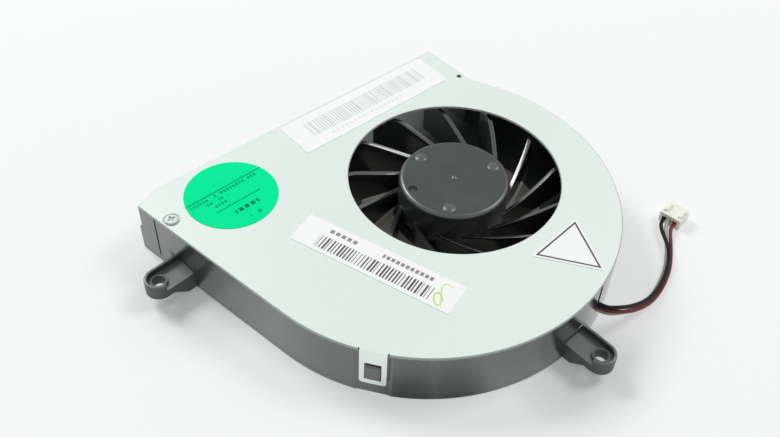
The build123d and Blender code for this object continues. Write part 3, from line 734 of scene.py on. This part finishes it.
# %% Inner pieces
inner_nodes = {
    "bearing_tube": "turned_brass", "thrust_plate": "wear_plastic",
    "bearing_sleeve": "sintered_bronze", "rotor_shaft": "bright_steel",
    "retaining_ring": "wear_plastic", "rotor_yoke": "bright_steel",
    "rotor_magnet": "bonded_magnet", "stator_core": "stacked_steel",
    "lower_insulator": "ivory_plastic", "upper_insulator": "ivory_plastic",
    "stator_coils": "enamelled_copper", "circuit_board": "lacquered_board",
    "driver_chip": "chip_moulding", "board_components": "chip_ceramic",
    "inner_leads": "inner_insulation",
}
for node_name, finish_name in inner_nodes.items():
    dress(node_name, inner_finishes[finish_name])
print("inner pieces dressed", len(inner_nodes))

# %% [markdown]
# Four stickers lie on the cover. Their print could be an image on a UV map, but here the material
# draws it: a Mapping node moves the origin to the sticker's middle and turns it, so the print is
# written in the sticker's own millimetres. Bars come from a random value for each step along the
# sticker, and small print is rows of plain dashes.


# %% Helpers for print
def sticker_axes(tree, middle, turn):
    """The two coordinates of a sticker, in metres along and across it from its middle."""
    place = add_node(tree, "ShaderNodeTexCoord").outputs["Object"]
    mapping = add_node(tree, "ShaderNodeMapping", {
        "Vector": place,
        "Location": (middle[0] * MM, middle[1] * MM, 0.0),
        "Rotation": (0.0, 0.0, math.radians(turn)),
    }, vector_type="TEXTURE")
    axes = add_node(tree, "ShaderNodeSeparateXYZ", {"Vector": mapping.outputs[0]}).outputs
    return axes["X"], axes["Y"]


def box_mask(tree, along, across, left, right, bottom, top):
    """One inside a rectangle of the sticker."""
    in_length, in_width = between(tree, along, left, right), between(tree, across, bottom, top)
    return calc(tree, "MULTIPLY", in_length, in_width)


def step_value(tree, along, pitch, seed):
    """Steps of a pitch along the sticker: the share of a step that is passed, and the step's own
    random number."""
    steps = calc(tree, "DIVIDE", along, pitch * MM)
    number = calc(tree, "ADD", calc(tree, "FLOOR", steps), seed)
    noise = add_node(tree, "ShaderNodeTexWhiteNoise", {"W": number}, noise_dimensions="1D")
    return calc(tree, "FRACT", steps), noise.outputs["Value"]


def bars(tree, along, pitch, seed, thin=0.2, thick=0.68):
    """Upright bars: each step starts with one, and its random number says how wide it is inked."""
    passed, chance = step_value(tree, along, pitch, seed)
    inked = calc(tree, "MULTIPLY_ADD", chance, thick - thin, thin)
    return calc(tree, "LESS_THAN", passed, inked)


def dashes(tree, along, across, left, right, middle, height, pitch, seed, kept=0.88, inked=0.66):
    """A row of plain dashes: each step starts with one and ends in a gap, and some are left out."""
    passed, chance = step_value(tree, along, pitch, seed)
    return combine(tree, "MULTIPLY", [
        calc(tree, "LESS_THAN", chance, kept),
        calc(tree, "LESS_THAN", passed, inked),
        box_mask(tree, along, across, left, right, middle - height / 2, middle + height / 2),
    ])


def paper_sticker(name):
    """A finish of coated white paper."""
    return surface(
        name, (0.94, 0.955, 0.947), (0.96, 0.975, 0.967), (0.45, 0.55), drift=0.01, grain=0.0004,
    )


print_helpers = (sticker_axes, box_mask, step_value, bars, dashes, paper_sticker)
print("print helpers", [helper.__name__ for helper in print_helpers])

# %% [markdown]
# The front sticker is white paper with a row of dark bars and two rows of dashes above it. Each row
# is given by its two ends, its middle, its height, the pitch of its dashes and a random seed, so
# that moving a row means changing one number.

# %% Front sticker
front_middle = (-28.07, -8.21)
front_turn = -72.0
front_bar_box = (-12.6, 12.4, -2.8, 0.35)
front_bar_pitch = 0.68
front_bar_seed = 3.0
front_rows = (
    (-11.7, -5.3, 2.0, 0.9, 1.3, 19.0),
    (0.2, 11.6, 2.0, 0.9, 1.05, 23.0),
)
bar_ink = (0.065, 0.06, 0.06)
dash_ink = (0.27, 0.25, 0.25)

front_finish = paper_sticker("front_sticker")
tree = front_finish.node_tree
along, across = sticker_axes(tree, front_middle, front_turn)
bar_area = box_mask(tree, along, across, *front_bar_box)
all_bars = bars(tree, along, front_bar_pitch, front_bar_seed)
front_dashes = [dashes(tree, along, across, *row) for row in front_rows]
colour_over(tree, calc(tree, "MULTIPLY", all_bars, bar_area), bar_ink)
colour_over(tree, combine(tree, "MAXIMUM", front_dashes), dash_ink)
dress("front_label", front_finish)
print("front sticker with", len(front_rows), "rows of dashes")

# %% [markdown]
# The back sticker is the same paper with taller bars over one row of dashes. It lies far from the
# eye in bright light, so its ink is pale.

# %% Back sticker
back_middle = (0.6, 29.2)
back_bar_box = (-15.6, 16.2, -1.7, 2.95)
back_bar_pitch = 0.66
back_bar_seed = 41.0
back_row = (-12.0, 9.0, -3.0, 0.7, 1.2, 55.0)
pale_bar_ink = (0.66, 0.7, 0.68)
pale_dash_ink = (0.82, 0.84, 0.83)

back_finish = paper_sticker("back_sticker")
tree = back_finish.node_tree
along, across = sticker_axes(tree, back_middle, 0.0)
bar_area = box_mask(tree, along, across, *back_bar_box)
all_bars = bars(tree, along, back_bar_pitch, back_bar_seed, thin=0.3, thick=0.8)
colour_over(tree, calc(tree, "MULTIPLY", all_bars, bar_area), pale_bar_ink)
colour_over(tree, dashes(tree, along, across, *back_row), pale_dash_ink)
dress("back_label", back_finish)
print("back sticker printed")

# %% [markdown]
# The round sticker is bright green film. A line crosses it, with rows of dashes in a darker green:
# small ones in a middle tone, and the line and one larger row in a deep one.

# %% Round sticker
round_middle = (-38.93, 24.12)
round_turn = 1.7
small_rows = (
    (-8.6, -4.3, 1.65, 0.6, 0.72, 5.0),
    (-3.2, 7.4, 1.7, 0.7, 0.75, 9.0),
    (-5.8, -4.2, 0.4, 0.6, 0.8, 15.0),
    (-2.8, -0.6, 0.4, 0.6, 0.75, 17.0),
    (-4.6, -1.6, -0.95, 0.6, 0.75, 27.0),
    (-5.2, 5.4, -2.5, 0.45, 0.6, 33.0),
    (-0.6, 1.9, -7.4, 0.7, 1.2, 43.0),
)
large_row = (-2.3, 3.3, -4.7, 1.0, 1.4, 38.0)
line_box = (-9.5, 9.5, 2.48, 2.72)
middle_green = (0.002, 0.36, 0.15)
deep_green = (0.002, 0.24, 0.1)

green_finish = surface(
    "green_film", (0.002, 0.84, 0.32), (0.003, 0.92, 0.37), (0.4, 0.5), drift=0.01, grain=0.0004,
    Specular_IOR_Level=0.02,
)
tree = green_finish.node_tree
along, across = sticker_axes(tree, round_middle, round_turn)
small_print = [dashes(tree, along, across, *row) for row in small_rows]
green_line = box_mask(tree, along, across, *line_box)
large_print = calc(tree, "MAXIMUM", green_line, dashes(tree, along, across, *large_row))
colour_over(tree, combine(tree, "MAXIMUM", small_print), middle_green)
colour_over(tree, large_print, deep_green)
dress("round_label", green_finish)
print("round sticker with", len(small_rows) + 1, "rows of dashes")

# %% [markdown]
# The triangle sticker has a dark border and nothing inside it. A triangle's edge is as far along
# one of three directions as the border lies from its middle, so the largest of the three distances
# says how far out a place is, and the border is a narrow band of that.

# %% Triangle sticker
triangle_middle = (3.19, -29.15)
edge_directions = (95.0, 215.0, 335.0)
border_band = (3.28, 3.64)
border_ink = (0.05, 0.048, 0.048)

triangle_finish = paper_sticker("triangle_sticker")
tree = triangle_finish.node_tree
along, across = sticker_axes(tree, triangle_middle, 0.0)
edge_distances = [
    calc(
        tree, "ADD", calc(tree, "MULTIPLY", along, math.cos(math.radians(direction))),
        calc(tree, "MULTIPLY", across, math.sin(math.radians(direction))),
    )
    for direction in edge_directions
]
border = between(tree, combine(tree, "MAXIMUM", edge_distances), *border_band)
colour_over(tree, border, border_ink)
dress("triangle_label", triangle_finish)
print("triangle sticker, border", border_band, "mm from its middle")

# %% [markdown]
# A loop of green pen is drawn on the front sticker's end: a stem that bends in, then almost a full
# turn of a slanted oval. The stem is a cubic curve with four control points and the oval is a
# circle stretched along two directions, both in the sticker's millimetres.

# %% Pen route
stem_corners = np.array([(15.3, 2.1), (12.6, 3.2), (13.2, 0.9), (15.16, -2.44)])
stem_steps = 40
oval_middle = np.array((14.14, -1.6))
oval_reach = np.array([(0.668, 0.444), (0.788, -1.226)])
oval_angles = (68.0, 385.0)
oval_steps = 60

share = np.linspace(0.0, 1.0, stem_steps)[:, None]
rest = 1 - share
stem_weights = np.concatenate([rest**3, 3 * share * rest**2, 3 * share**2 * rest, share**3], axis=1)
oval_turn = np.radians(np.linspace(*oval_angles, oval_steps))
oval_points = oval_middle + np.stack([np.cos(oval_turn), np.sin(oval_turn)], axis=-1) @ oval_reach
pen_route = np.concatenate([stem_weights @ stem_corners, oval_points])

sticker_turn = math.radians(front_turn)
sticker_frame = np.array([
    (math.cos(sticker_turn), math.sin(sticker_turn)),
    (-math.sin(sticker_turn), math.cos(sticker_turn)),
])
pen_path = (np.array(front_middle) + pen_route @ sticker_frame) * MM
print("pen route", len(pen_path), "points")

# %% [markdown]
# Ink on paper could be a mask in the sticker's material. As a thin strip it keeps its clean edge in
# any view: a low flat section carried along the route, a little proud of the paper. The oval lies
# just above the stem, so that the two don't share a surface where they cross.

# %% Pen loop
ink_height = 0.015 * MM
stem_width = (0.16, 0.26)
oval_width = 0.34
stem_level = 12.745
oval_level = 12.753


def ink_strip(path, width, height, level):
    """A flat strip along a path in plan: each section is a low four-cornered bar across the path,
    its top a little narrower than its foot, and wider where the pen slowed down."""
    ahead = np.gradient(path, axis=0)
    ahead /= np.linalg.norm(ahead, axis=-1, keepdims=True)
    left = np.stack([-ahead[:, 1], ahead[:, 0]], axis=-1)
    across = width[:, None] * np.array([-0.5, -0.4, 0.4, 0.5])
    flat = path[:, None, :] + left[:, None, :] * across[..., None]
    heights = level[:, None] + height * np.array([0.0, 1.0, 1.0, 0.0])
    points = np.concatenate([flat, heights[..., None]], axis=-1).reshape(-1, 3)
    size = len(points)
    ends = np.array([[0, 1, 2, 3], [size - 1, size - 2, size - 3, size - 4]])
    return points, [tube_faces(len(path), 4), ends]


stem_widths = np.linspace(*stem_width, stem_steps)
pen_width = np.concatenate([stem_widths, np.full(oval_steps, oval_width)]) * MM
pen_level = np.concatenate([np.full(stem_steps, stem_level), np.full(oval_steps, oval_level)]) * MM
pen_points, pen_faces = ink_strip(pen_path, pen_width, ink_height, pen_level)
pen_finish = surface(
    "pen_ink", (0.5, 0.68, 0.13), (0.66, 0.8, 0.28), (0.35, 0.5), drift=0.0015, grain=0.0003,
    relief=0.000002,
)
pen_loop = new_piece("pen_loop", pen_points, pen_faces, "housing", "white_sticker", [pen_finish])
print("pen loop", len(pen_loop.data.polygons), "faces")

# %% [markdown]
# The fan lies on a pale table. It is one wide square with matt paint and no shine, and it isn't
# part of the object.

# %% Table
table_half = 3.0
table_corners = np.array([(-1, -1, 0), (1, -1, 0), (1, 1, 0), (-1, 1, 0)]) * table_half
table = bpy.data.objects.new("table", new_mesh("table", table_corners, [np.array([[0, 1, 2, 3]])]))
scene.collection.objects.link(table)
table_finish = surface(
    "pale_table", (0.925, 0.94, 0.933), (0.935, 0.95, 0.943), (0.7, 0.8), drift=0.2, grain=0.002,
    relief=0.0, Specular_IOR_Level=0.0,
)
table.data.materials.append(table_finish)
print("table", 2 * table_half, "m wide")

# %% [markdown]
# A well-lit studio table is almost white. More light would also bleach the fan, so a share of the
# table simply shows white to the camera and in reflections, and the other share stays paint, which
# keeps the fan's shadow. The Light Path node tells the kinds of ray apart. The white share is
# smaller close to the two ears, which paints their shadows deeper. In reflections it is larger, a
# painted reflection that lifts the walls, and it fades out at the foot of the front wall, a painted
# shadow that the wall mirrors there.

# %% Table's white share
studio_white = (0.985, 1.0, 0.993, 1.0)
ear_shadows = ((-57.5, 16.0), (-9.0, -47.5))
ear_shade = (6 * MM, 18 * MM)
white_share = (0.2, 0.46)
front_feet = ((-38.23, -30.45), (-31.39, -35.79))
foot_shade = (9.5 * MM, 2 * MM)
mirror_gain = (1.5, 0.0)


def seen_directly(tree):
    """One for what the camera, a reflection or a clear body sees, and zero for the light that a
    surface gives to others."""
    path = add_node(tree, "ShaderNodeLightPath").outputs
    kinds = ("Is Camera Ray", "Is Glossy Ray", "Is Transmission Ray")
    return combine(tree, "MAXIMUM", [path[kind] for kind in kinds])


tree = table_finish.node_tree
x, y = object_axes(tree)[:2]
ear_away = combine(tree, "MINIMUM", [away_from(tree, x, y, middle) for middle in ear_shadows])
foot_away = combine(tree, "MINIMUM", [away_from(tree, x, y, foot) for foot in front_feet])
# Less white near the ears paints their shadows deeper; in mirrors, more white lifts the walls and
# none at the front foot paints a shadow there.
white = ramp(tree, ear_away, *ear_shade, *white_share, kind="SMOOTHSTEP")
gain = ramp(tree, foot_away, *foot_shade, *mirror_gain, kind="SMOOTHSTEP")
mirrored = add_node(tree, "ShaderNodeLightPath").outputs["Is Glossy Ray"]
gain_in_mirrors = ramp(tree, mirrored, 0.0, 1.0, 1.0, gain)
table_share = combine(tree, "MULTIPLY", [seen_directly(tree), white, gain_in_mirrors])
paint = tree.nodes["Principled BSDF"].outputs[0]
glow = add_node(tree, "ShaderNodeEmission", {"Color": studio_white, "Strength": 1.0}).outputs[0]
table_mix = add_node(tree, "ShaderNodeMixShader", {0: table_share, 1: paint, 2: glow})
tree.links.new(table_mix.outputs[0], tree.nodes["Material Output"].inputs["Surface"])
print("table's white share from", white_share[0], "at the ears to", white_share[1])

# %% [markdown]
# Around the table is an even, bright room. It is almost white to look at and in reflections, but it
# gives less light than that, so that colours come out about as they are written.

# %% Room
room_light = 0.36
room_look = 0.955

world = bpy.data.worlds.new("room")
scene.world = world
world.use_nodes = True
room = world.node_tree
background = room.nodes["Background"]
background.inputs["Color"].default_value = studio_white
room_strength = ramp(room, seen_directly(room), 0.0, 1.0, room_light, room_look)
room.links.new(room_strength, background.inputs["Strength"])
print("room gives", room_light, "and looks", room_look)

# %% [markdown]
# Two soft lamps stand behind the fan, one at each shoulder. The left one is the stronger. A large
# lamp close by gives soft shadows, as a window or a softbox does. The view transform is Standard,
# which shows each colour as it is.

# %% Lamps
lamp_distance = 1.2
lamp_size = 0.42


def soft_lamp(name, azimuth, elevation, power):
    """A square lamp on a sphere about the fan, turned to face it."""
    data = bpy.data.lights.new(name, "AREA")
    data.shape = "SQUARE"
    data.size = lamp_size
    data.energy = power
    lamp = bpy.data.objects.new(name, data)
    flat = math.cos(math.radians(elevation)) * lamp_distance
    lamp.location = (
        flat * math.cos(math.radians(azimuth)),
        flat * math.sin(math.radians(azimuth)),
        math.sin(math.radians(elevation)) * lamp_distance,
    )
    lamp.rotation_euler = (-Vector(lamp.location)).to_track_quat("-Z", "Y").to_euler()
    scene.collection.objects.link(lamp)


soft_lamp("left_lamp", azimuth=100.0, elevation=43.0, power=7.7)
soft_lamp("right_lamp", azimuth=-20.0, elevation=50.0, power=4.5)
scene.view_settings.view_transform = "Standard"
